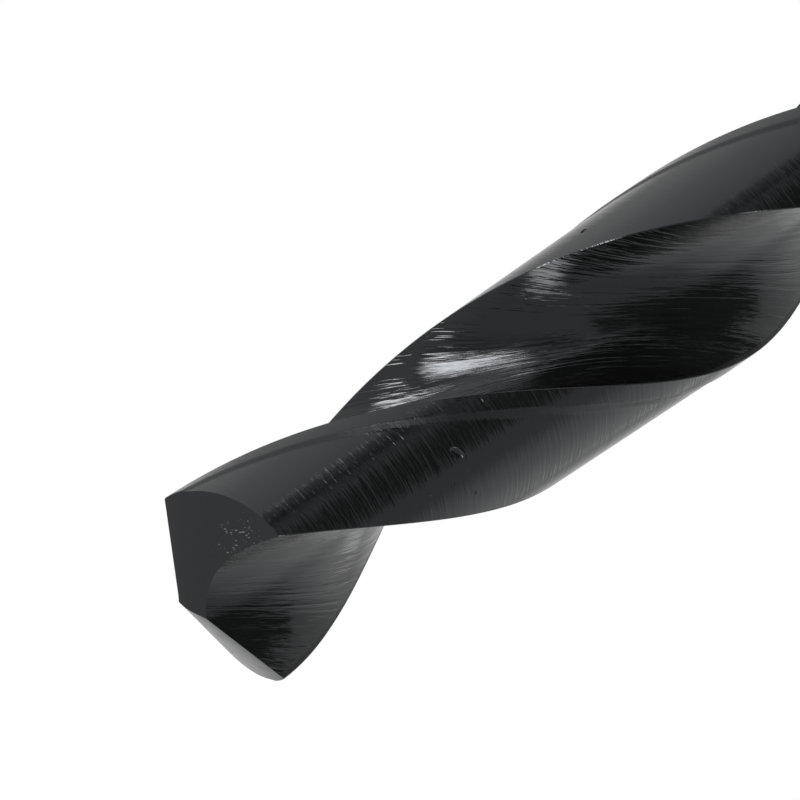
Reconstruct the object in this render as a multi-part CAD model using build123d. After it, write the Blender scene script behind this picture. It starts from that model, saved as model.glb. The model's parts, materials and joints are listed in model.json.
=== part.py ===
"""Twist drill, 8 mm, jobber length, with a straight shank.

One piece of high-speed steel: a round bar with two right-hand helical flutes,
a narrow margin along the cutting side of each land, a conically relieved point
and a plain shank.  The drill stands on the flat end of its shank.  The origin
is the centre of that face, and +Z runs along the axis to the point.
"""
import os
from math import asin, atan, ceil, cos, degrees, pi, radians, sin, sqrt, tan

from build123d import *

# ---------------------------------------------------------------- driving sizes, mm
DIAMETER = 8.0               # at the point; the margins taper back to the shank's size
OVERALL_LENGTH = 117.0
FLUTE_LENGTH = 75.0
SHANK_DIAMETER = 7.95
SHANK_CHAMFER = 0.6

LEAD = 53.2                  # length in which a flute makes one turn
POINT_ANGLE = 128.5          # degrees, between the two lips
WEB = 1.00                   # distance between the two lips, seen along the axis
CHISEL_HALF = 0.45           # from the axis to the inner end of a lip, along the lip

LAND_ANGLE = 76.2            # degrees of the round that a land takes up, margin included
MARGIN_WIDTH = 0.78
SLOPE_ANGLE = 5.0            # degrees of the round in which the land falls from its margin
CLEARANCE_AT_MARGIN = 0.13   # how far the land lies below the margin, past that slope
CLEARANCE_AT_HEEL = 0.23     # and at its heel

LIP_SIDE_SHARES = (1.0, 0.75, 0.5, 0.3)  # of the radius, along a flute's lip side
FLUTE_FLOOR = (              # the rest of a flute's wall, with the leading edge on +X
    (0.60, 0.33),
    (0.02, 0.73),
    (-0.45, 1.22),
    (-0.72, 1.78),
    (-0.85, 2.50),
)

WHEEL_RADIUS = 25.0          # grinding wheel that leaves the run-out of a flute
WHEEL_REACH = 0.4            # from the axis to the rim, where the run-out begins
FLOOR_BEARING = 55.0         # degrees from the leading edge to the middle of a flute
RUN_OUT_LENGTH = 12.0
CLEARANCE_RUN_OUT = 2.0      # from the end of a flute to where the clearance begins

RELIEF_APEX = 2.23           # from the inner end of a lip to the apex of its relief cone
RELIEF_TILT = 10.4           # degrees, of the relief cone's axis from the drill's axis
RELIEF_HEADING = 43.3        # degrees, direction of that tilt, from the lip

PAST = 1.0                   # how far a cutter runs past the end of what it cuts
PAST_HEEL = 7.0              # degrees by which the clearance cutter runs past a heel
SEGMENT_TURN = 170.0         # most degrees of twist in one cutter

# ---------------------------------------------------------------- worked out from them
RADIUS = DIAMETER / 2
OUTSIDE = RADIUS * 1.3                            # cutters reach out past the bar
LIP_OFFSET = WEB / 2
LIP_REACH = sqrt(RADIUS**2 - LIP_OFFSET**2)
LIP_SLOPE = tan(radians(POINT_ANGLE / 2))
LIP_DROP = (LIP_REACH - CHISEL_HALF) / LIP_SLOPE
LIP_Z = OVERALL_LENGTH - LIP_DROP                 # height of the outer corners
HELIX_ANGLE = degrees(atan(2 * pi * RADIUS / LEAD))
TWIST = 360 / LEAD                                # degrees of turn for each mm of height
LEADING_EDGE = degrees(asin(LIP_OFFSET / RADIUS))  # bearing of an outer corner
FLUTE_END_Z = OVERALL_LENGTH - FLUTE_LENGTH
FULL_DEPTH_Z = FLUTE_END_Z + RUN_OUT_LENGTH
CLEARANCE_END_Z = FLUTE_END_Z + CLEARANCE_RUN_OUT
CUTTER_TOP_Z = OVERALL_LENGTH + PAST
CUTTER_BOTTOM_Z = FLUTE_END_Z - PAST
WHEEL_WIDTH = 6 * RADIUS                          # wide enough to pass the bar on both sides
RELIEF_HEIGHT = 2.5 * RADIUS                      # of the relief cone, past the whole point


def polar(radius, bearing):
    """Point of a cross-section at a radius and a bearing in degrees."""
    return Vector(radius * cos(radians(bearing)), radius * sin(radians(bearing)))


def lip_side_bearing(radius):
    """Bearing of the flute wall ahead of a leading edge at bearing 0.

    The wall is the helical surface that holds the straight lip, so a lip point
    nearer the axis, which lies higher up, is turned back by the twist.
    """
    reach = sqrt(radius**2 - LIP_OFFSET**2)
    rise = (LIP_REACH - reach) / LIP_SLOPE
    return degrees(asin(LIP_OFFSET / radius)) - LEADING_EDGE - TWIST * rise


def flute_section():
    """Cross-section of one flute, with the leading edge at bearing 0."""
    lip_side = [polar(RADIUS * share, lip_side_bearing(RADIUS * share)) for share in LIP_SIDE_SHARES]
    floor = [Vector(*point) for point in FLUTE_FLOOR]
    heel_bearing = 180 - LAND_ANGLE
    heel = polar(RADIUS - CLEARANCE_AT_HEEL, heel_bearing)
    wall = Spline(*lip_side, *floor, heel)
    heel_out = polar(OUTSIDE, heel_bearing)
    lead_out = polar(OUTSIDE, 0)
    rim = ThreePointArc(heel_out, polar(OUTSIDE, heel_bearing / 2), lead_out)
    outline = Wire([wall, Line(heel, heel_out), rim, Line(lead_out, lip_side[0])])
    return Face(outline)


def clearance_section():
    """Cross-section of what is ground off a land behind its margin."""
    margin_end = -degrees(MARGIN_WIDTH / RADIUS)
    slope_end = margin_end - SLOPE_ANGLE
    past_heel = -LAND_ANGLE - PAST_HEEL
    middle = (slope_end + past_heel) / 2
    middle_clearance = (CLEARANCE_AT_MARGIN + CLEARANCE_AT_HEEL) / 2
    margin_edge = polar(RADIUS, margin_end)
    land_start = polar(RADIUS - CLEARANCE_AT_MARGIN, slope_end)
    land_middle = polar(RADIUS - middle_clearance, middle)
    land_end = polar(RADIUS - CLEARANCE_AT_HEEL, past_heel)
    outer_start = polar(OUTSIDE, margin_end)
    outer_end = polar(OUTSIDE, past_heel)
    outline = Wire(
        [
            Line(margin_edge, land_start),
            ThreePointArc(land_start, land_middle, land_end),
            Line(land_end, outer_end),
            ThreePointArc(outer_end, polar(OUTSIDE, middle), outer_start),
            Line(outer_start, margin_edge),
        ]
    )
    return Face(outline)


def twisted(section, bottom, top):
    """Helical solids, stacked end to end, of a section with its leading edge at bearing 0."""
    count = ceil(TWIST * (top - bottom) / SEGMENT_TURN)
    height = (top - bottom) / count
    solids = []
    for index in range(count):
        level = bottom + index * height
        turn = LEADING_EDGE - TWIST * (LIP_Z - level)
        start = section.rotate(Axis.Z, turn).translate((0, 0, level))
        solids.append(
            Solid.extrude_linear_with_rotation(
                start,
                center=(0, 0, level),
                normal=(0, 0, height),
                angle=TWIST * height,
            )
        )
    return solids


def run_out_wheel():
    """Disc whose rim bounds the floor of a flute in its run-out."""
    bearing = LEADING_EDGE - TWIST * (LIP_Z - FULL_DEPTH_Z) + FLOOR_BEARING
    outward = polar(1, bearing)
    sideways = polar(1, bearing + 90)
    axle = sideways * cos(radians(HELIX_ANGLE)) - Vector(0, 0, 1) * sin(radians(HELIX_ANGLE))
    centre = outward * (WHEEL_RADIUS + WHEEL_REACH) + Vector(0, 0, FULL_DEPTH_Z)
    plane = Plane(origin=centre - axle * (WHEEL_WIDTH / 2), z_dir=axle)
    return Solid.make_cylinder(WHEEL_RADIUS, WHEEL_WIDTH, plane)


def flute_cutters():
    """Solids removed for one flute: its full depth, then its run-out into the shank."""
    section = flute_section()
    run_out = twisted(section, CUTTER_BOTTOM_Z, FULL_DEPTH_Z)[0] & run_out_wheel()
    return [run_out] + twisted(section, FULL_DEPTH_Z, CUTTER_TOP_Z)


def relief_cutter():
    """What the point grinding takes off one flank: all that lies outside a cone.

    The lip is a straight line of the cone.  The cone's apex lies past the inner
    end of the lip, and its axis leans so that the flank falls away to the heel.
    """
    lip_inner = Vector(CHISEL_HALF, LIP_OFFSET, OVERALL_LENGTH)
    lip_outer = Vector(LIP_REACH, LIP_OFFSET, LIP_Z)
    lip = (lip_outer - lip_inner).normalized()
    apex = lip_inner - lip * RELIEF_APEX
    lean = radians(RELIEF_TILT)
    axis = polar(1, RELIEF_HEADING) * sin(lean) - Vector(0, 0, 1) * cos(lean)
    rim = RELIEF_HEIGHT * tan(radians(lip.get_angle(axis)))
    cone = Solid.make_cone(0.0, rim, RELIEF_HEIGHT, Plane(origin=apex, z_dir=axis))
    cap = Pos(0, 0, OVERALL_LENGTH - RADIUS) * Cylinder(
        OUTSIDE, 2 * RADIUS, align=(Align.CENTER, Align.CENTER, Align.MIN)
    )
    return cap - cone


def blank():
    """Round bar: a chamfered cylindrical shank, then a body that tapers out to the point."""
    shank_radius = SHANK_DIAMETER / 2
    top = OVERALL_LENGTH + PAST / 2
    outline = Polyline(
        (0, 0),
        (shank_radius - SHANK_CHAMFER, 0),
        (shank_radius, SHANK_CHAMFER),
        (shank_radius, FLUTE_END_Z),
        (RADIUS, OVERALL_LENGTH),
        (RADIUS, top),
        (0, top),
        close=True,
    )
    return revolve(Plane.XZ * make_face(outline), Axis.Z)


def twist_drill():
    """The whole drill as one solid."""
    drill = blank()
    cutters = twisted(clearance_section(), CLEARANCE_END_Z, CUTTER_TOP_Z)
    cutters += flute_cutters()
    cutters.append(relief_cutter())
    for turn in (0, 180):
        for cutter in cutters:
            drill = drill - Rot(0, 0, turn) * cutter
    return drill.solids()[0]


os.makedirs("parts", exist_ok=True)
export_step(twist_drill(), "parts/twist_drill.step")
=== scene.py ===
"""A twist drill of 8 mm, ground from one bar of high-speed steel and blackened in steam.

The drill stands on its shank on a pale floor.  Lengths are in millimetres and
angles in degrees unless a name says otherwise, and a mesh becomes metres as it
is made.
"""

from __future__ import annotations

import json
import logging
import math
from dataclasses import astuple, dataclass, field
from enum import Enum

import bmesh
import bpy
from mathutils import Matrix, Vector

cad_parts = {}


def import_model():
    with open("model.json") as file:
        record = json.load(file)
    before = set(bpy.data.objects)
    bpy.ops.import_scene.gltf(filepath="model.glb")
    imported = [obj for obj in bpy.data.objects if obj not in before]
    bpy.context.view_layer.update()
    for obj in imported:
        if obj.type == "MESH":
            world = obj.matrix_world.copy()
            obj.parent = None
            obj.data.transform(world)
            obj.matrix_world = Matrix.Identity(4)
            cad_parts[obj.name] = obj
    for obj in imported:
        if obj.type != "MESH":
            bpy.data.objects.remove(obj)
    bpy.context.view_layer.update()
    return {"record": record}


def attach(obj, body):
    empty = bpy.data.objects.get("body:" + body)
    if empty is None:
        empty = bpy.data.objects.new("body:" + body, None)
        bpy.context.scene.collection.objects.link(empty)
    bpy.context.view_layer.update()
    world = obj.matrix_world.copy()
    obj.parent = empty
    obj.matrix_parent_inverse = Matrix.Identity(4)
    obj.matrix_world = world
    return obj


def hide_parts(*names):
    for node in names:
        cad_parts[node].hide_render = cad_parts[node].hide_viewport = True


LOG = logging.getLogger("twist_drill")
# A millimetre, in metres.
MM = 0.001
NODE = "twist_drill"
# Vertices closer than this become one.
WELD = 1e-4
# Floor and heel wall of a flute in its cross-section, with the leading edge on +X.
FLUTE_FLOOR = (
    (0.60, 0.33),
    (0.02, 0.73),
    (-0.45, 1.22),
    (-0.72, 1.78),
    (-0.85, 2.50),
)
# Shares of the radius at which the wall that ends in the lip is worked out.
LIP_WALL_SHARES = (1.0, 0.93, 0.85, 0.77, 0.69, 0.61, 0.53, 0.45, 0.37, 0.28)
# The middle of the rubbed place on the first flank, behind its lip.
WORN_FLANK = (1.6, -2.3, 115.2)
# The bearing in which that place was rubbed.
RUB_HEADING = 69
# Nearly all of a noise lies between these two.
NOISE_LOW = 0.35
NOISE_HIGH = 0.65
# A scratch begins where its noise passes the first, and is at its deepest from the second.
SCRATCH_BEGINS = 0.5
SCRATCH_DEEPEST = 0.66


class Ground(Enum):
    """The faces of the drill, by the grinding that made them, with their slots in the mesh."""

    FLUTE = 0
    LAND = 1
    MARGIN = 2
    FLANK = 3
    SHANK = 4
    STEP = 5


def linear(code: str) -> tuple[float, float, float, float]:
    """Turn an sRGB hex colour into linear values.

    Args:
        code: six hex digits, such as "8A8F94".

    Returns:
        Red, green, blue and an alpha of one.
    """
    channels = [int(code[i : i + 2], 16) / 255 for i in (0, 2, 4)]
    curve = [c / 12.92 if c <= 0.04045 else ((c + 0.055) / 1.055) ** 2.4 for c in channels]
    return (*curve, 1.0)


def polar(radius: float, bearing: float) -> Vector:
    """Return the point at a radius and a bearing, in the plane of a section."""
    turn = math.radians(bearing)
    return Vector((radius * math.cos(turn), radius * math.sin(turn), 0.0))


def aimed(azimuth: float, elevation: float) -> Vector:
    """Return the unit vector that points in a direction."""
    rise = math.radians(elevation)
    return polar(math.cos(rise), azimuth) + Vector((0, 0, math.sin(rise)))


def through(points: list[Vector], steps: int) -> list[Vector]:
    """Run a smooth curve through points.

    Args:
        points: the points, in order.
        steps: pieces between one point and the next.

    Returns:
        Points along the curve, from the first to the last.
    """
    before = points[0] * 2 - points[1]
    after = points[-1] * 2 - points[-2]
    row = [before, *points, after]
    curve = []
    for start in range(1, len(row) - 2):
        a, b, c, d = row[start - 1 : start + 3]
        for step in range(steps):
            t = step / steps
            straight = 2 * b + (c - a) * t
            bend = (2 * a - 5 * b + 4 * c - d) * t * t
            swing = (3 * b - 3 * c + d - a) * t**3
            curve.append(0.5 * (straight + bend + swing))
    curve.append(points[-1].copy())
    return curve


def add_node(
    tree: bpy.types.NodeTree,
    kind: str,
    settings: dict | None = None,
    **links: bpy.types.NodeSocket,
) -> bpy.types.Node:
    """Add a shader node with its settings and the links into it.

    Args:
        tree: the node tree of a material or of the world.
        kind: the node's type name.
        settings: properties of the node, or values of its sockets by name or index.
        links: for each input, by name or as in0, in1 and so on, the output that feeds it.

    Returns:
        The new node.
    """
    node = tree.nodes.new(kind)
    for name, value in (settings or {}).items():
        if isinstance(name, str) and hasattr(node, name):
            setattr(node, name, value)
        else:
            node.inputs[name].default_value = value
    for name, source in links.items():
        key = int(name[2:]) if name.startswith("in") and name[2:].isdigit() else name.replace("_", " ")
        tree.links.new(source, node.inputs[key])
    return node


def turned(profile: list[tuple[float, float]], sides: int) -> bmesh.types.BMesh:
    """Turn a profile about Z into a closed solid.

    Args:
        profile: the radius and height of each point, from the axis back to the axis.
        sides: the number of flats round the solid.

    Returns:
        The solid.
    """
    bm = bmesh.new()
    verts = [bm.verts.new((r, 0, z)) for r, z in profile]
    edges = [bm.edges.new((a, b)) for a, b in zip(verts, verts[1:])]
    bmesh.ops.spin(
        bm, geom=edges, cent=(0, 0, 0), axis=(0, 0, 1), angle=math.tau, steps=sides, use_merge=True
    )
    bmesh.ops.remove_doubles(bm, verts=bm.verts, dist=WELD)
    bmesh.ops.recalc_face_normals(bm, faces=bm.faces)
    return bm


def finished(bm: bmesh.types.BMesh, name: str, finishes: list[bpy.types.Material]) -> bpy.types.Object:
    """Turn a bmesh drawn in millimetres into an object at the origin.

    Args:
        bm: the mesh, which is freed.
        name: the object's name.
        finishes: the materials, in the order of the faces' slots.

    Returns:
        The object, linked to the scene.
    """
    bmesh.ops.scale(bm, vec=(MM, MM, MM), verts=bm.verts)
    mesh = bpy.data.meshes.new(name)
    for finish in finishes:
        mesh.materials.append(finish)
    bm.to_mesh(mesh)
    bm.free()
    obj = bpy.data.objects.new(name, mesh)
    bpy.context.scene.collection.objects.link(obj)
    return obj


def combined(target: bpy.types.Object, tool: bpy.types.Object, operation: str) -> bpy.types.Object:
    """Join or cut one solid with another, and use up the tool.

    Args:
        target: the solid that is kept.
        tool: the solid that is added or taken away.
        operation: UNION or DIFFERENCE.

    Returns:
        The target, with its new mesh.
    """
    modifier = target.modifiers.new("solid", "BOOLEAN")
    modifier.operation = operation
    modifier.solver = "EXACT"
    modifier.material_mode = "INDEX"
    modifier.object = tool
    bpy.context.view_layer.update()
    evaluated = target.evaluated_get(bpy.context.evaluated_depsgraph_get())
    mesh = bpy.data.meshes.new_from_object(evaluated)
    target.modifiers.clear()
    old = target.data
    target.data = mesh
    bpy.data.meshes.remove(old)
    bpy.data.objects.remove(tool)
    return target


@dataclass(frozen=True)
class Dent:
    """A nick or a pit, given by the egg-shaped tool that would cut it."""

    place: tuple[float, float, float]
    half_width: float
    half_length: float
    half_depth: float
    tilt: float = 0.0

    def add_to(self, bm: bmesh.types.BMesh) -> None:
        """Add the tool, with its depth pointing away from the drill's axis.

        Args:
            bm: the mesh that the tool is added to, in millimetres.
        """
        outward = Vector((self.place[0], self.place[1], 0)).to_track_quat("Z", "Y")
        size = (self.half_width, self.half_length, self.half_depth, 1)
        matrix = (
            Matrix.Translation(self.place)
            @ outward.to_matrix().to_4x4()
            @ Matrix.Rotation(math.radians(self.tilt), 4, "Z")
            @ Matrix.Diagonal(size)
        )
        bmesh.ops.create_icosphere(bm, subdivisions=3, radius=1.0, matrix=matrix)


# The nicks and pits of use: a gouge and pits in a land, and nicks in the edges.
DENTS = (
    Dent(place=(-0.12, -3.87, 105.85), half_width=0.22, half_length=0.36, half_depth=0.1, tilt=-55),
    Dent(place=(-1.07, -3.66, 106.61), half_width=0.06, half_length=0.08, half_depth=0.05),
    Dent(place=(-1.84, -3.34, 105.64), half_width=0.08, half_length=0.06, half_depth=0.06),
    Dent(place=(3.74, -0.80, 93.49), half_width=0.1, half_length=0.2, half_depth=0.09, tilt=20),
    Dent(place=(-0.86, 0.60, 116.48), half_width=0.06, half_length=0.06, half_depth=0.06),
    Dent(place=(-2.34, 1.36, 115.51), half_width=0.07, half_length=0.05, half_depth=0.07),
    Dent(place=(0.07, -0.29, 117.0), half_width=0.1, half_length=0.07, half_depth=0.1),
)


@dataclass
class TwistDrill:
    """The whole drill, from its point to the end of its shank."""

    overall: float
    shank_radius: float
    radius: float = 4.0
    flute_length: float = 75.0
    shank_chamfer: float = 0.6
    lead: float = 53.2
    point_angle: float = 128.5
    web: float = 1.0
    chisel_half: float = 0.45
    land_angle: float = 76.2
    margin_width: float = 0.78
    step_angle: float = 4.0
    clearance_at_margin: float = 0.07
    clearance_at_heel: float = 0.23
    edge_round: float = 0.035
    # The wheel that grinds the flutes, and the height over which it leaves them.
    wheel_radius: float = 25.0
    wheel_width: float = 24.0
    wheel_reach: float = 0.4
    floor_bearing: float = 55.0
    run_out: float = 12.0
    # The solid that the point grinding takes off a flank: its apex lies behind the
    # inner end of the lip, and it reaches below the apex and above it.
    relief_apex: float = 2.23
    relief_tilt: float = 10.4
    relief_heading: float = 43.3
    relief_below: float = 4.8
    relief_above: float = 2.0
    # The flutes are drawn this much past their ends, and cut back or covered.
    past_flute_end: float = 2.0
    past_point: float = 1.0
    # The shank lies this far under the margins, so that the two solids cross
    # cleanly, and the corner above its chamfer is eased.
    shank_inset: float = 0.004
    shank_ease: float = 0.05
    # How far a face may lie from where a grinding put it and still be known by it.
    margin_slack: float = 0.012
    heel_slack: float = 0.03
    step_slack: float = 0.2
    bearing_slack: float = 1.0
    # How fine the mesh is, and the angle from which its edges are sharp.
    ring_height: float = 0.4
    wall_pieces: int = 6
    wall_smoothings: int = 12
    land_pieces: int = 30
    step_pieces: int = 6
    margin_pieces: int = 10
    shank_sides: int = 180
    wheel_sides: int = 720
    sharp_angle: float = 28.0
    finishes: list[bpy.types.Material] = field(default_factory=list)

    def __post_init__(self) -> None:
        """Work out the sizes that follow from the driving ones."""
        self.lip_offset = self.web / 2
        self.lip_reach = math.sqrt(self.radius**2 - self.lip_offset**2)
        self.lip_slope = math.tan(math.radians(self.point_angle / 2))
        self.lip_z = self.overall - (self.lip_reach - self.chisel_half) / self.lip_slope
        self.twist = 360 / self.lead
        self.leading_edge = math.degrees(math.asin(self.lip_offset / self.radius))
        self.flute_end = self.overall - self.flute_length
        self.full_depth = self.flute_end + self.run_out
        self.heel_radius = self.radius - self.clearance_at_heel
        self.margin_span = math.degrees(self.margin_width / self.radius)

    def edge_bearing(self, height: float) -> float:
        """Return the bearing of the first leading edge at a height."""
        return self.leading_edge - self.twist * (self.lip_z - height)

    def lip_wall_bearing(self, radius: float) -> float:
        """Place the wall that ends in the lip, so that the lip comes out straight.

        Args:
            radius: the distance from the axis.

        Returns:
            The bearing of the wall there, with the leading edge at 0.
        """
        reach = math.sqrt(radius**2 - self.lip_offset**2)
        rise = (self.lip_reach - reach) / self.lip_slope
        return math.degrees(math.asin(self.lip_offset / radius)) - self.leading_edge - self.twist * rise

    def flute_wall(self) -> list[Vector]:
        """Draw the flute's side of the cross-section.

        Returns:
            Points from the leading edge, through the flute's floor, to the heel.
        """
        lip_wall = []
        for share in LIP_WALL_SHARES:
            radius = self.radius * share
            lip_wall.append(polar(radius, self.lip_wall_bearing(radius)))
        lip_wall[0] = polar(self.radius - self.edge_round, 0)
        floor = [Vector((x, y, 0)) for x, y in FLUTE_FLOOR]
        heel = polar(self.heel_radius - self.edge_round, 180 - self.land_angle)
        wall = through([*lip_wall, *floor, heel], self.wall_pieces)
        for _ in range(self.wall_smoothings):
            middle = [(a + 2 * b + c) / 4 for a, b, c in zip(wall, wall[1:], wall[2:])]
            wall = [wall[0], wall[1], *middle[1:-1], wall[-2], wall[-1]]
        return wall

    def half_section(self) -> list[Vector]:
        """Draw half of the cross-section, from one leading edge round to the next.

        Returns:
            Points of the flute, the land, the step and the margin, in order.
        """
        edge = math.degrees(self.edge_round / self.radius)
        land_start = 180 - self.land_angle + edge
        margin_start = 180 - self.margin_span
        step_start = margin_start - self.step_angle
        points = self.flute_wall()
        for piece in range(self.land_pieces + 1):
            share = piece / self.land_pieces
            radius = self.heel_radius + (self.clearance_at_heel - self.clearance_at_margin) * share
            points.append(polar(radius, land_start + (step_start - land_start) * share))
        for piece in range(1, self.step_pieces):
            share = piece / self.step_pieces
            radius = self.radius - self.clearance_at_margin * (1 - share)
            points.append(polar(radius, step_start + self.step_angle * share))
        for piece in range(self.margin_pieces + 1):
            share = piece / self.margin_pieces
            points.append(polar(self.radius, margin_start + (180 - edge - margin_start) * share))
        return points

    def fluted_body(self) -> bpy.types.Object:
        """Screw the cross-section up the axis.

        Returns:
            The fluted length, closed at both ends and running past the point.
        """
        bottom = self.flute_end - self.past_flute_end
        top = self.overall + self.past_point
        half = self.half_section()
        loop = half + [Vector((-point.x, -point.y, 0)) for point in half]
        spun = Matrix.Rotation(math.radians(self.edge_bearing(bottom)), 4, "Z")
        bm = bmesh.new()
        verts = [bm.verts.new(spun @ point + Vector((0, 0, bottom))) for point in loop]
        edges = [bm.edges.new((a, b)) for a, b in zip(verts, verts[1:] + verts[:1])]
        steps = round((top - bottom) / self.ring_height)
        rise = (top - bottom) / steps
        bmesh.ops.contextual_create(bm, geom=edges)
        result = bmesh.ops.spin(
            bm,
            geom=edges,
            cent=(0, 0, 0),
            axis=(0, 0, 1),
            dvec=(0, 0, rise),
            angle=math.radians(self.twist * (top - bottom)),
            steps=steps,
            use_duplicate=False,
        )
        last = [item for item in result["geom_last"] if isinstance(item, bmesh.types.BMEdge)]
        bmesh.ops.contextual_create(bm, geom=last)
        bmesh.ops.recalc_face_normals(bm, faces=bm.faces)
        self.mark_ground(bm)
        self.back_taper(bm)
        return finished(bm, "fluted_body", self.finishes)

    def mark_ground(self, bm: bmesh.types.BMesh) -> None:
        """Give each face the slot of the grinding that made it.

        Args:
            bm: the fluted length, before its back taper.
        """
        past_margin = self.margin_span + self.bearing_slack
        for face in bm.faces:
            centre = face.calc_center_median()
            radius = math.hypot(centre.x, centre.y)
            bearing = math.degrees(math.atan2(centre.y, centre.x))
            behind = (self.edge_bearing(centre.z) - bearing) % 180
            ground = Ground.FLUTE
            if behind < past_margin and radius > self.radius - self.margin_slack:
                ground = Ground.MARGIN
            elif behind < past_margin + self.step_angle and radius > self.radius - self.step_slack:
                ground = Ground.STEP
            elif behind < self.land_angle and radius > self.heel_radius - self.heel_slack:
                ground = Ground.LAND
            face.material_index = ground.value

    def back_taper(self, bm: bmesh.types.BMesh) -> None:
        """Draw the margins in towards the shank, so that they don't bind in the hole.

        Args:
            bm: the fluted length.
        """
        shrink = (self.radius - self.shank_radius) / self.radius
        for vert in bm.verts:
            share = (self.overall - vert.co.z) / self.flute_length
            vert.co.xy *= 1 - shrink * share

    def bar(self) -> bpy.types.Object:
        """Turn the shank.

        Returns:
            The shank, up to where the flutes reach their full depth.
        """
        radius = self.shank_radius - self.shank_inset
        profile = [
            (0.0, 0.0),
            (radius - self.shank_chamfer, 0.0),
            (radius - self.shank_ease, self.shank_chamfer - self.shank_ease),
            (radius, self.shank_chamfer + self.shank_ease),
            (radius, self.full_depth),
            (0.0, self.full_depth),
        ]
        bm = turned(profile, self.shank_sides)
        for face in bm.faces:
            face.material_index = Ground.SHANK.value
        return finished(bm, "bar", self.finishes)

    def run_out_wheel(self, turn: float) -> bpy.types.Object:
        """Make the grinding wheel at the place where it leaves a flute.

        Args:
            turn: the wheel's turn about the drill's axis.

        Returns:
            The wheel as a solid disc.
        """
        bearing = self.edge_bearing(self.full_depth) + self.floor_bearing + turn
        helix = math.atan(math.tau * self.radius / self.lead)
        axle = polar(1, bearing + 90) * math.cos(helix) - Vector((0, 0, 1)) * math.sin(helix)
        centre = polar(self.wheel_radius + self.wheel_reach, bearing) + Vector((0, 0, self.full_depth))
        place = Matrix.Translation(centre) @ axle.to_track_quat("Z", "Y").to_matrix().to_4x4()
        bm = bmesh.new()
        bmesh.ops.create_cone(
            bm,
            cap_ends=True,
            segments=self.wheel_sides,
            radius1=self.wheel_radius,
            radius2=self.wheel_radius,
            depth=self.wheel_width,
            matrix=place,
        )
        for face in bm.faces:
            face.material_index = Ground.FLUTE.value
        return finished(bm, "run_out_wheel", self.finishes)

    def relief(self, turn: float) -> bpy.types.Object:
        """Make the solid that the point grinding takes off one flank.

        Args:
            turn: its turn about the drill's axis.

        Returns:
            A cylinder with a hollow in its lower end, which is the relief cone.
        """
        inner = Vector((self.chisel_half, self.lip_offset, self.overall))
        outer = Vector((self.lip_reach, self.lip_offset, self.lip_z))
        lip = (outer - inner).normalized()
        apex = inner - lip * self.relief_apex
        lean = math.radians(self.relief_tilt)
        axis = polar(1, self.relief_heading) * math.sin(lean) - Vector((0, 0, 1)) * math.cos(lean)
        rim = self.relief_below * math.tan(lip.angle(axis))
        profile = [
            (0.0, 0.0),
            (rim, self.relief_below),
            (rim, -self.relief_above),
            (0.0, -self.relief_above),
        ]
        bm = turned(profile, self.wheel_sides)
        place = (
            Matrix.Rotation(math.radians(turn), 4, "Z")
            @ Matrix.Translation(apex)
            @ axis.to_track_quat("Z", "Y").to_matrix().to_4x4()
        )
        bmesh.ops.transform(bm, matrix=place, verts=bm.verts)
        for face in bm.faces:
            face.material_index = Ground.FLANK.value
        return finished(bm, "relief", self.finishes)

    def wear(self) -> bpy.types.Object:
        """Make the tools that cut the nicks and pits.

        Returns:
            The tools, as one object.
        """
        bm = bmesh.new()
        for dent in DENTS:
            dent.add_to(bm)
        for face in bm.faces:
            face.material_index = Ground.LAND.value
        return finished(bm, "wear", self.finishes)

    def build(self) -> bpy.types.Object:
        """Grind the drill.

        Returns:
            The drill as one mesh object.
        """
        drill = self.bar()
        for turn in (0, 180):
            drill = combined(drill, self.run_out_wheel(turn), "DIFFERENCE")
        drill = combined(self.fluted_body(), drill, "UNION")
        for turn in (0, 180):
            drill = combined(drill, self.relief(turn), "DIFFERENCE")
        drill = combined(drill, self.wear(), "DIFFERENCE")
        drill.name = "ground_drill"
        mesh = drill.data
        mesh.name = "ground_drill"
        mesh.polygons.foreach_set("use_smooth", [True] * len(mesh.polygons))
        mesh.set_sharp_from_angle(angle=math.radians(self.sharp_angle))
        return drill


@dataclass(frozen=True)
class Marks:
    """Grinding marks of one size.

    The grit leaves marks of 0.02 to 0.05 mm.  That is too fine to show here, so
    the finest are drawn 0.06 to 0.11 mm wide, and the others stand for bundles
    of them.
    """

    width: float
    length: float
    depth: float

    def height(
        self, tree: bpy.types.NodeTree, along: bpy.types.NodeSocket, wound: bool
    ) -> bpy.types.NodeSocket:
        """Draw the marks as a height.

        Args:
            tree: the material's node tree.
            along: the place, in millimetres, with the marks along Z and side by side
                in Y if they are wound round the drill, and in planes across Z if not.
            wound: whether the marks are wound round the drill.

        Returns:
            The height of the surface, from 0 to 1.
        """
        fast, slow = 1 / self.width, 1 / self.length
        scale = (slow, fast, slow) if wound else (slow, slow, fast)
        stretched = add_node(tree, "ShaderNodeVectorMath", {"operation": "MULTIPLY", 1: scale}, in0=along)
        noise = add_node(
            tree,
            "ShaderNodeTexNoise",
            {"Scale": 1.0, "Detail": 3.0, "Roughness": 0.6},
            Vector=stretched.outputs["Vector"],
        )
        return noise.outputs["Fac"]

    def cut(
        self,
        tree: bpy.types.NodeTree,
        height: bpy.types.NodeSocket,
        normal: bpy.types.NodeSocket | None,
    ) -> bpy.types.NodeSocket:
        """Cut the marks into a surface.

        Args:
            tree: the material's node tree.
            height: the height of the marks, from 0 to 1.
            normal: the normal of the surface before, or None for that of the mesh.

        Returns:
            The normal with the marks in it.
        """
        bump = add_node(
            tree, "ShaderNodeBump", {"Strength": 1.0, "Distance": self.depth * MM}, Height=height
        )
        if normal:
            tree.links.new(normal, bump.inputs["Normal"])
        return bump.outputs["Normal"]


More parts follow.
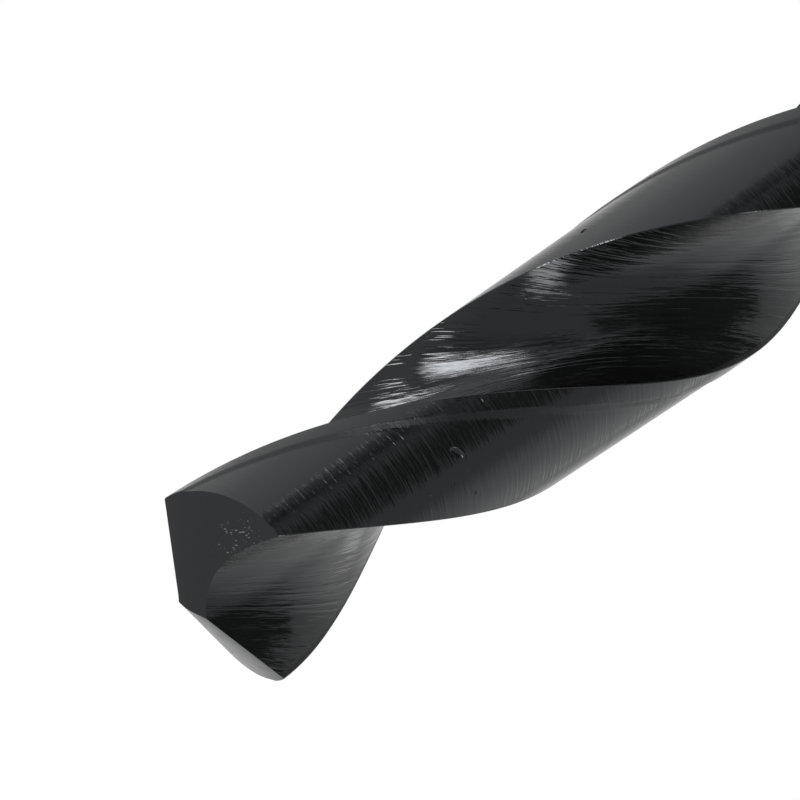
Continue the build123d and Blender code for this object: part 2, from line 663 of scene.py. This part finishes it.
@dataclass(frozen=True)
class SteamOxide:
    """High-speed steel, ground and then blackened in steam.

    The oxide is magnetite, thin and half a metal, so it keeps the grinding marks
    of the steel below: a near-black skin with a sharp gloss, in which the edge of
    every reflection is drawn out into hairs along the marks.  The flecks are spots
    where the skin is rubbed through and the grey steel shows.
    """

    name: str
    colour: str = "303132"
    bare: str = "8E9092"
    metallic: float = 0.9
    # The roughness at the bottom and at the top of the hairs.
    smooth: float = 0.06
    dull: float = 0.13
    hairs: Marks = Marks(width=0.11, length=1.3, depth=0.006)
    bands: Marks = Marks(width=0.3, length=2.2, depth=0.014)
    scratches: Marks | None = None
    # The radius of the largest fleck, the pitch of the cells that may hold one, how
    # far they are drawn out, and how pale a cell's random colour is before it does.
    fleck_radius: float = 0.0315
    fleck_pitch: float = 0.45
    fleck_stretch: float = 1.0
    fleck_rarity: float = 0.7
    # The middle and the reach of a rubbed place, the share of the reach in which the
    # flecks have their full size, and the share of their size that is left beyond it.
    worn_at: tuple[float, float, float] | None = None
    worn_reach: float = 1.2
    worn_core: float = 0.3
    worn_beyond: float = 0.15
    # The turn of the marks round the drill per millimetre, and their lean.
    twist: float = 0.0
    lean: float = 0.0

    def material(self) -> bpy.types.Material:
        """Make the material.

        Returns:
            A material that reads Object coordinates.
        """
        material = bpy.data.materials.new(self.name)
        material.use_nodes = True
        tree = material.node_tree
        shader = tree.nodes["Principled BSDF"]
        shader.inputs["Metallic"].default_value = self.metallic
        place = add_node(tree, "ShaderNodeTexCoord").outputs["Object"]
        scaled = add_node(
            tree, "ShaderNodeVectorMath", {"operation": "SCALE", "Scale": 1 / MM}, Vector=place
        )
        spot = scaled.outputs["Vector"]
        wound = self.twist != 0
        along = self.unwound(tree, spot) if wound else spot
        normal = None
        for marks in (self.bands, self.hairs):
            height = marks.height(tree, along, wound)
            normal = marks.cut(tree, height, normal)
        gloss = add_node(
            tree,
            "ShaderNodeMapRange",
            {"From Min": NOISE_LOW, "From Max": NOISE_HIGH, "To Min": self.smooth, "To Max": self.dull},
            Value=height,
        )
        tree.links.new(gloss.outputs["Result"], shader.inputs["Roughness"])
        if self.scratches:
            lines = add_node(
                tree,
                "ShaderNodeMapRange",
                {"From Min": SCRATCH_BEGINS, "From Max": SCRATCH_DEEPEST},
                Value=self.scratches.height(tree, along, wound),
            )
            normal = self.scratches.cut(tree, lines.outputs["Result"], normal)
        tree.links.new(normal, shader.inputs["Normal"])
        skin = add_node(
            tree,
            "ShaderNodeMix",
            {"data_type": "RGBA", 6: linear(self.colour), 7: linear(self.bare)},
            in0=self.flecks(tree, spot),
        )
        tree.links.new(skin.outputs[2], shader.inputs["Base Color"])
        return material

    def flecks(self, tree: bpy.types.NodeTree, spot: bpy.types.NodeSocket) -> bpy.types.NodeSocket:
        """Strew the flecks, each in a cell of its own.

        Args:
            tree: the material's node tree.
            spot: the place on the drill, in millimetres.

        Returns:
            One on a fleck, and zero elsewhere.
        """
        drawn_out = add_node(
            tree,
            "ShaderNodeMapping",
            {
                "vector_type": "TEXTURE",
                "Rotation": (0, 0, math.radians(RUB_HEADING)),
                "Scale": (self.fleck_stretch, 1, 1),
            },
            Vector=spot,
        )
        cells = add_node(
            tree,
            "ShaderNodeTexVoronoi",
            {"Scale": 1 / self.fleck_pitch},
            Vector=drawn_out.outputs["Vector"],
        )
        largest = self.fleck_radius / self.fleck_pitch
        size = add_node(
            tree,
            "ShaderNodeMapRange",
            {"From Min": self.fleck_rarity, "From Max": 1.0, "To Max": largest},
            Value=cells.outputs["Color"],
        )
        radius = size.outputs["Result"]
        if self.worn_at:
            away = add_node(
                tree, "ShaderNodeVectorMath", {"operation": "DISTANCE", 1: self.worn_at}, in0=spot
            )
            near = add_node(
                tree,
                "ShaderNodeMapRange",
                {
                    "From Min": self.worn_reach,
                    "From Max": self.worn_core * self.worn_reach,
                    "To Min": self.worn_beyond,
                },
                Value=away.outputs["Value"],
            )
            narrowed = add_node(
                tree, "ShaderNodeMath", {"operation": "MULTIPLY"}, in0=radius, in1=near.outputs["Result"]
            )
            radius = narrowed.outputs["Value"]
        fleck = add_node(
            tree,
            "ShaderNodeMath",
            {"operation": "LESS_THAN"},
            in0=cells.outputs["Distance"],
            in1=radius,
        )
        return fleck.outputs["Value"]

    def unwound(self, tree: bpy.types.NodeTree, spot: bpy.types.NodeSocket) -> bpy.types.NodeSocket:
        """Unscrew the drill, so that a flute runs straight up.

        Unscrewed from the shank's end, the flutes open along X.  The grinding wheel
        stands at the helix angle of the outside, which is more than that of the
        flute's floor, so its marks lean over from the flute.

        Args:
            tree: the material's node tree.
            spot: the place on the drill, in millimetres.

        Returns:
            The place with the marks of both flutes along Z, side by side in Y.
        """
        height = add_node(tree, "ShaderNodeSeparateXYZ", Vector=spot).outputs["Z"]
        turn = add_node(
            tree,
            "ShaderNodeMath",
            {"operation": "MULTIPLY", 1: -math.radians(self.twist)},
            in0=height,
        )
        turned = add_node(
            tree,
            "ShaderNodeVectorRotate",
            {"rotation_type": "Z_AXIS"},
            Vector=spot,
            Angle=turn.outputs["Value"],
        )
        parts = add_node(tree, "ShaderNodeSeparateXYZ", Vector=turned.outputs["Vector"])
        side = add_node(tree, "ShaderNodeMath", {"operation": "SIGN"}, in0=parts.outputs["X"])
        aside = add_node(
            tree,
            "ShaderNodeMath",
            {"operation": "MULTIPLY"},
            in0=parts.outputs["Y"],
            in1=side.outputs["Value"],
        )
        leaned = add_node(
            tree,
            "ShaderNodeMath",
            {"operation": "MULTIPLY_ADD", 1: -self.lean},
            in0=height,
            in2=aside.outputs["Value"],
        )
        joined = add_node(
            tree, "ShaderNodeCombineXYZ", X=parts.outputs["X"], Y=leaned.outputs["Value"], Z=height
        )
        return joined.outputs["Vector"]


def finishes_of(twist: float) -> list[bpy.types.Material]:
    """Make the finish of each ground face.

    Args:
        twist: the turn of the flutes per millimetre.

    Returns:
        The materials, in the order of their slots.
    """
    looks = {
        # Ground from the solid by a coarse wheel, along the flute: the smoothest
        # skin, with long deep marks that tear the image of a lamp into streaks.
        Ground.FLUTE: SteamOxide(
            name="black_oxide_steel_wheel_ground",
            smooth=0.04,
            dull=0.09,
            hairs=Marks(width=0.11, length=3.0, depth=0.009),
            bands=Marks(width=0.36, length=4.0, depth=0.035),
            scratches=Marks(width=0.2, length=6.0, depth=0.009),
            twist=twist,
            lean=0.43,
        ),
        # Ground by a wheel that runs round the drill: short fine hairs round the land.
        Ground.LAND: SteamOxide(
            name="black_oxide_steel_cylinder_ground",
            hairs=Marks(width=0.1, length=1.6, depth=0.008),
            bands=Marks(width=0.25, length=2.4, depth=0.015),
        ),
        # Ground round like the land, and rubbed by the hole: a little duller.
        Ground.MARGIN: SteamOxide(
            name="black_oxide_steel_margin",
            smooth=0.1,
            dull=0.2,
            hairs=Marks(width=0.11, length=1.6, depth=0.012),
        ),
        # Ground last and finely: an even grey sheen, with a patch rubbed down by use.
        Ground.FLANK: SteamOxide(
            name="black_oxide_steel_point_ground",
            bare="626466",
            smooth=0.16,
            dull=0.26,
            hairs=Marks(width=0.06, length=0.6, depth=0.003),
            fleck_radius=0.0455,
            fleck_pitch=0.07,
            fleck_stretch=3.0,
            fleck_rarity=0.4,
            worn_at=WORN_FLANK,
        ),
        # Ground between centres: the same hairs, round the shank.
        Ground.SHANK: SteamOxide(name="black_oxide_steel_shank"),
        # Left between the land's wheel and the margin's: duller than both, and painted darker than both as
        # painted shade, so that the dark band of reflection runs on across it.
        Ground.STEP: SteamOxide(
            name="black_oxide_steel_margin_step",
            # Painted shade: a darker colour than the other faces, which stands in for the dark reflection
            # over the step.
            colour="2C2D2E",
            smooth=0.3,
            dull=0.4,
        ),
    }
    return [looks[ground].material() for ground in Ground]


@dataclass(frozen=True)
class Patch:
    """A round patch of the studio's walls, lighter or darker than the rest.

    It is placed as seen from the drill, is even inside its inner radius and fades
    out to its outer one.  Its gain is added to the brightness of the room.
    """

    azimuth: float
    elevation: float
    gain: float
    inner: float
    outer: float

    def add_to(
        self,
        tree: bpy.types.NodeTree,
        toward: bpy.types.NodeSocket,
        level: bpy.types.NodeSocket | None,
        room_level: float,
    ) -> bpy.types.NodeSocket:
        """Add the patch to the brightness of the room.

        Args:
            tree: the world's node tree.
            toward: the direction in which the room is seen.
            level: the brightness so far, or None for the first patch.
            room_level: the brightness that the first patch is added to.

        Returns:
            The new brightness.
        """
        middle = tuple(aimed(self.azimuth, self.elevation))
        aligned = add_node(tree, "ShaderNodeVectorMath", {"operation": "DOT_PRODUCT", 1: middle}, in0=toward)
        share = add_node(
            tree,
            "ShaderNodeMapRange",
            {
                "interpolation_type": "SMOOTHSTEP",
                "From Min": math.cos(math.radians(self.outer)),
                "From Max": math.cos(math.radians(self.inner)),
                "To Max": self.gain,
            },
            Value=aligned.outputs["Value"],
        )
        added = add_node(
            tree, "ShaderNodeMath", {"operation": "ADD", 1: room_level}, in0=share.outputs["Result"]
        )
        if level:
            tree.links.new(level, added.inputs[1])
        return added.outputs["Value"]


@dataclass(frozen=True)
class Lamp:
    """A long lamp, as a row of round patches between the ones at its two ends."""

    start: Patch
    end: Patch
    patches: int

    def row(self) -> list[Patch]:
        """Lay the lamp out.

        Returns:
            The patches from its start to its end, each a blend of the two.
        """
        row = []
        for number in range(self.patches):
            share = number / (self.patches - 1)
            blend = [a + (b - a) * share for a, b in zip(astuple(self.start), astuple(self.end))]
            row.append(Patch(*blend))
        return row


@dataclass
class Studio:
    """The floor, the room with its lamps, and the camera."""

    aim: tuple[float, float, float] = (2.135, 0.301, 104.02)
    azimuth: float = -82.04
    elevation: float = 34.76
    roll: float = 123.95
    distance: float = 354.1
    lens: float = 423.8
    sensor: float = 36.0
    floor_half: float = 1500.0
    room_level: float = 0.7
    darkest: float = 0.12
    walls: tuple[Patch, ...] = (
        # The ceiling, the brighter walls to the right and the left, and lesser lights.
        Patch(azimuth=35, elevation=75, gain=0.28, inner=90, outer=105),
        Patch(azimuth=-6, elevation=-14, gain=0.86, inner=5, outer=55),
        Patch(azimuth=-174, elevation=-38, gain=0.7, inner=1, outer=31),
        Patch(azimuth=64, elevation=-19, gain=0.9, inner=7, outer=14),
        Patch(azimuth=-150, elevation=-1, gain=6.0, inner=2, outer=9),
        Patch(azimuth=149, elevation=-42, gain=0.9, inner=1, outer=8),
    )
    shades: tuple[Patch, ...] = (
        # The dark camera, whoever holds it, and the darker places beside the lamps.
        Patch(azimuth=-91, elevation=-49, gain=-0.75, inner=20, outer=23),
        Patch(azimuth=-68, elevation=-48, gain=-0.3, inner=11, outer=14),
        Patch(azimuth=-116, elevation=-60, gain=-0.6, inner=9, outer=12),
        Patch(azimuth=-50, elevation=-32, gain=-0.55, inner=6, outer=8),
        Patch(azimuth=-59, elevation=-25, gain=-0.45, inner=4, outer=9),
        Patch(azimuth=-88, elevation=-3, gain=-0.31, inner=8, outer=13),
    )
    # A long lamp, its dimmer and narrower tail, and a small lamp above it.
    long_lamp: Lamp = Lamp(
        start=Patch(azimuth=-81, elevation=-4, gain=15.0, inner=2, outer=7),
        end=Patch(azimuth=-61, elevation=-15, gain=18.0, inner=1, outer=4.5),
        patches=4,
    )
    lamp_tail: Lamp = Lamp(
        start=Patch(azimuth=-52, elevation=-19, gain=10.0, inner=1, outer=4),
        end=Patch(azimuth=-43, elevation=-22, gain=8.0, inner=1, outer=3.5),
        patches=2,
    )
    small_lamp: Patch = Patch(azimuth=-52, elevation=-4, gain=18.0, inner=2, outer=6.5)

    def camera(self) -> None:
        """Set up the camera with the drill lying across the frame."""
        data = bpy.data.cameras.new("camera")
        data.lens = self.lens
        data.sensor_width = self.sensor
        data.clip_start = 0.01
        data.clip_end = 10
        obj = bpy.data.objects.new("camera", data)
        bpy.context.scene.collection.objects.link(obj)
        back = aimed(self.azimuth, self.elevation)
        right = Vector((0, 0, 1)).cross(back).normalized()
        up = back.cross(right)
        roll = math.radians(self.roll)
        up_rolled = up * math.cos(roll) + right * math.sin(roll)
        right_rolled = up_rolled.cross(back)
        place = Matrix((right_rolled, up_rolled, back)).transposed().to_4x4()
        place.translation = (Vector(self.aim) + back * self.distance) * MM
        obj.matrix_world = place
        bpy.context.scene.camera = obj

    def floor(self) -> None:
        """Lay the floor: white matt card, which gloss doesn't see."""
        bm = bmesh.new()
        bmesh.ops.create_grid(bm, x_segments=2, y_segments=2, size=self.floor_half)
        material = bpy.data.materials.new("floor")
        material.use_nodes = True
        shader = material.node_tree.nodes["Principled BSDF"]
        shader.inputs["Base Color"].default_value = linear("FFFFFF")
        shader.inputs["Roughness"].default_value = 1.0
        shader.inputs["Specular IOR Level"].default_value = 0.0
        obj = finished(bm, "floor", [material])
        obj.visible_glossy = False

    def world(self) -> None:
        """Make the soft light of a white room.

        Diffuse surfaces and the camera get plain white.  What gloss sees is the
        same room with its lighter walls, its darker places and its lamps.
        """
        world = bpy.data.worlds.new("studio")
        bpy.context.scene.world = world
        world.use_nodes = True
        tree = world.node_tree
        toward = add_node(tree, "ShaderNodeTexCoord").outputs["Generated"]
        level = None
        lamps = [*self.long_lamp.row(), *self.lamp_tail.row(), self.small_lamp]
        for patch in (*self.walls, *self.shades, *lamps):
            level = patch.add_to(tree, toward, level, self.room_level)
        held = add_node(tree, "ShaderNodeMath", {"operation": "MAXIMUM", 1: self.darkest}, in0=level)
        path = add_node(tree, "ShaderNodeLightPath")
        plain = add_node(
            tree,
            "ShaderNodeMath",
            {"operation": "ADD"},
            in0=path.outputs["Is Camera Ray"],
            in1=path.outputs["Is Diffuse Ray"],
        )
        strength = add_node(
            tree, "ShaderNodeMix", {3: 1.0}, in0=plain.outputs["Value"], in2=held.outputs["Value"]
        )
        background = tree.nodes["Background"]
        background.inputs["Color"].default_value = linear("FFFFFF")
        tree.links.new(strength.outputs[0], background.inputs["Strength"])

    def build(self) -> None:
        """Set up the studio."""
        self.camera()
        self.floor()
        self.world()


def main() -> None:
    """Build and dress the drill, then the studio round it."""
    logging.basicConfig(level=logging.INFO)
    bpy.context.scene.view_settings.view_transform = "Standard"
    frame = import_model()
    mounts = {mount["name"]: mount for mount in frame["record"]["mounts"]}
    drill_sizes = TwistDrill(overall=117.0, shank_radius=mounts["shank"]["dims"]["r_mm"])
    drill_sizes.finishes = finishes_of(drill_sizes.twist)
    drill = drill_sizes.build()
    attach(drill, "root")
    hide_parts(NODE)
    LOG.info("ground_drill: %d faces", len(drill.data.polygons))
    Studio().build()


if __name__ == "__main__":
    main()
